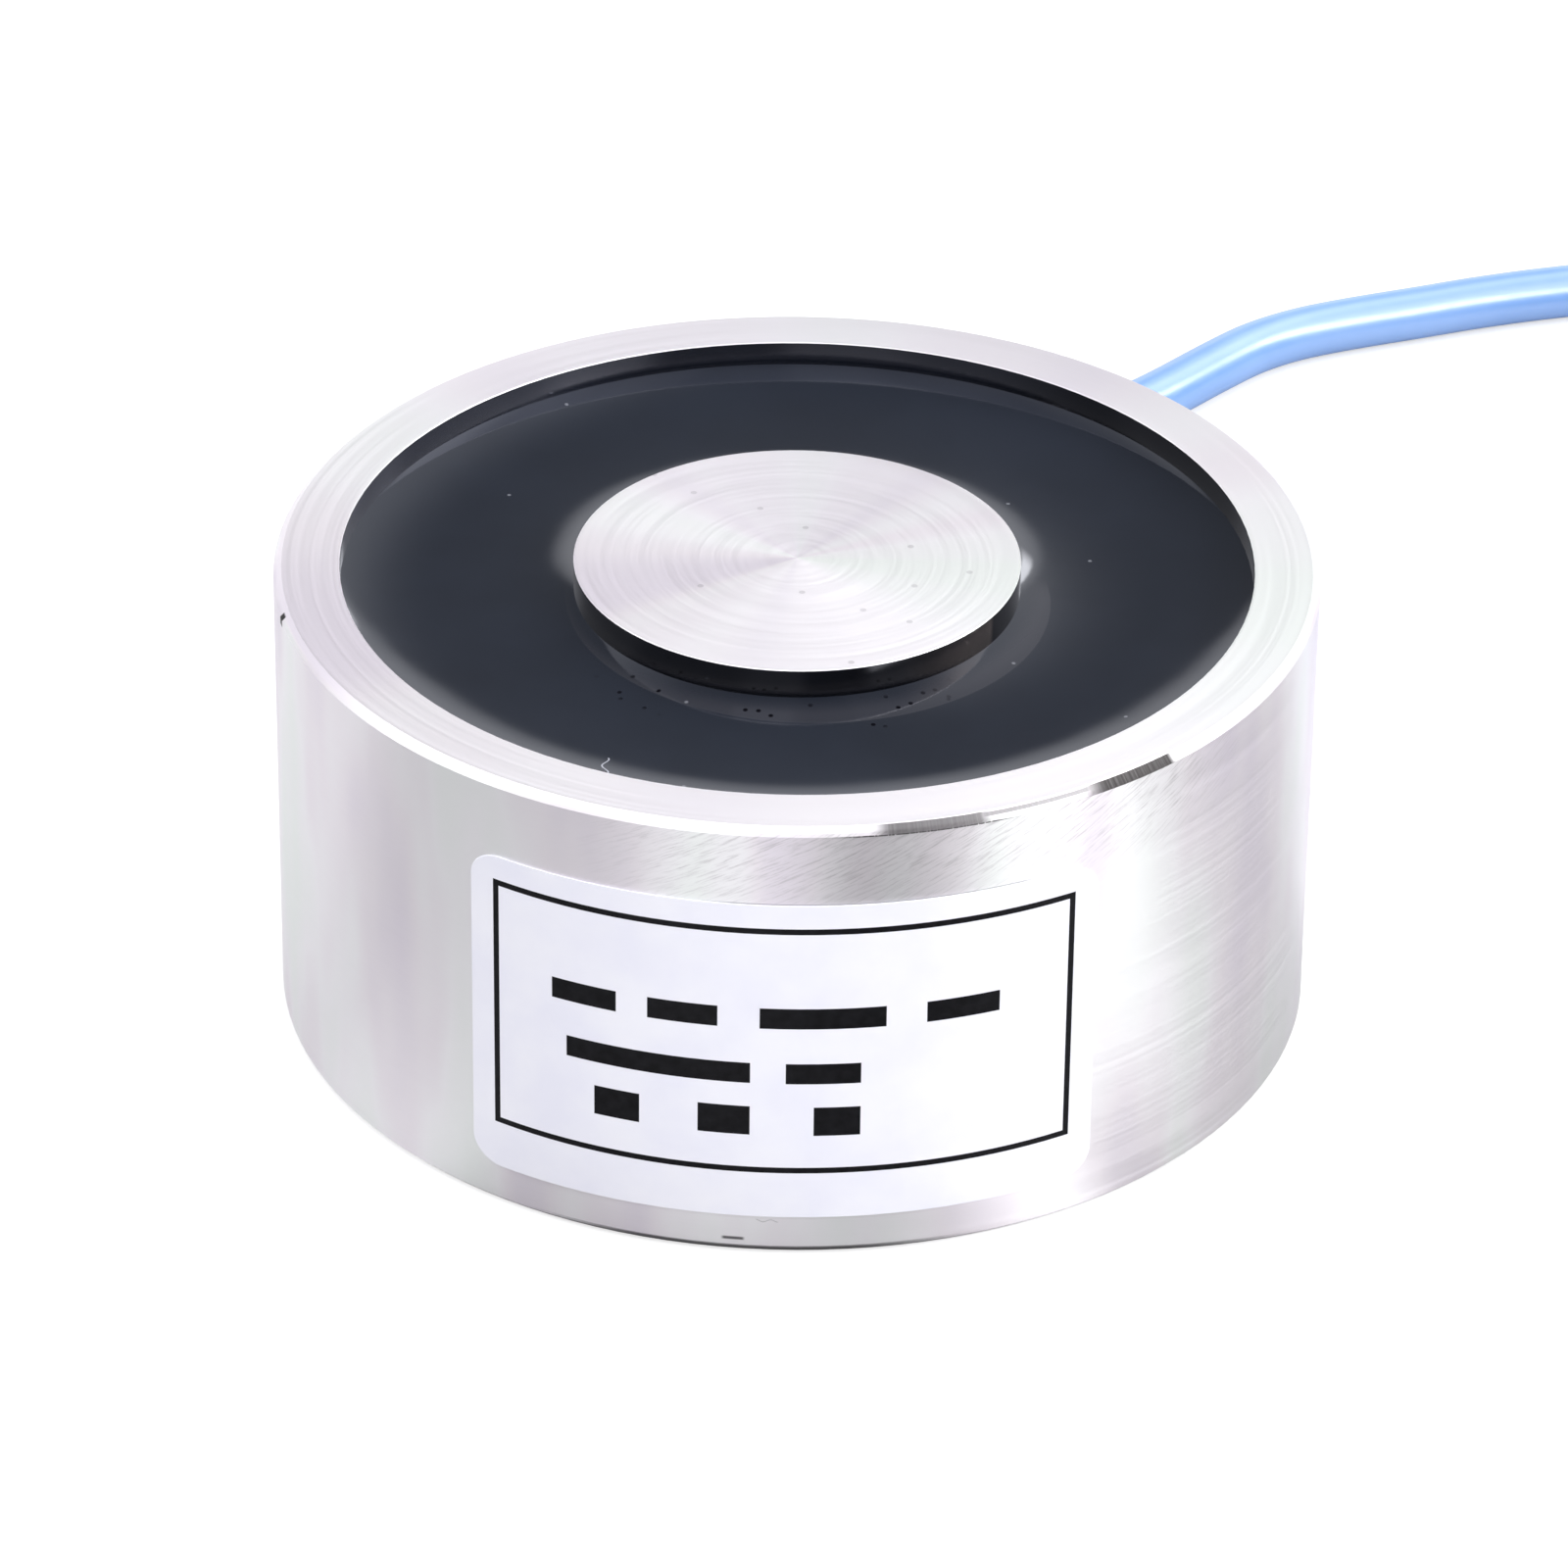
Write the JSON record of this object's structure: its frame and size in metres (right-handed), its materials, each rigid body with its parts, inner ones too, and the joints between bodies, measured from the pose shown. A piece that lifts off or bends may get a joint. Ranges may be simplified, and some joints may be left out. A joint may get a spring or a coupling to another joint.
{
  "type": "holding electromagnet",
  "caption": "Round pot-type holding electromagnet: plated steel shell and pole core, black potted winding, wrap-round label, tapped mounting hole in the back and a thin blue flying lead.",
  "frame": {"origin": "centre of the mounting face, on the surface that the magnet stands on", "axes": "+Z out of the pole face, -Y towards the label, the lead leaves on the +Y side"},
  "size_m": [0.1405, 0.127, 0.03],
  "materials": {
    "plated_steel": "bright nickel plate over turned steel",
    "bobbin_nylon": "moulded natural nylon",
    "winding_copper": "enamelled copper wire",
    "insulating_tape": "polyester tape",
    "splice_sleeve": "shrink sleeve",
    "wire_red": "PVC insulation",
    "wire_black": "PVC insulation",
    "resin": "glossy cast epoxy",
    "label_film": "satin printed film",
    "lead_jacket": "glossy PVC",
    "tie_plastic": "plastic-covered twist tie",
    "tinned_copper": "tinned strands"
  },
  "bodies": {
    "root": {"pot_shell": "plated_steel", "pole_core": "plated_steel", "bobbin": "bobbin_nylon", "coil_winding": "winding_copper", "winding_tape": "insulating_tape", "start_tail": "winding_copper", "finish_tail": "winding_copper", "start_splice": "splice_sleeve", "finish_splice": "splice_sleeve", "start_wire": "wire_red", "finish_wire": "wire_black", "potting_resin": "resin", "rating_label": "label_film", "lead_run": "lead_jacket", "lead_coil": "lead_jacket", "lead_tie": "tie_plastic", "end_wire_1": "wire_red", "end_wire_2": "wire_black", "tinned_tip_1": "tinned_copper", "tinned_tip_2": "tinned_copper"}
  },
  "joints": []
}
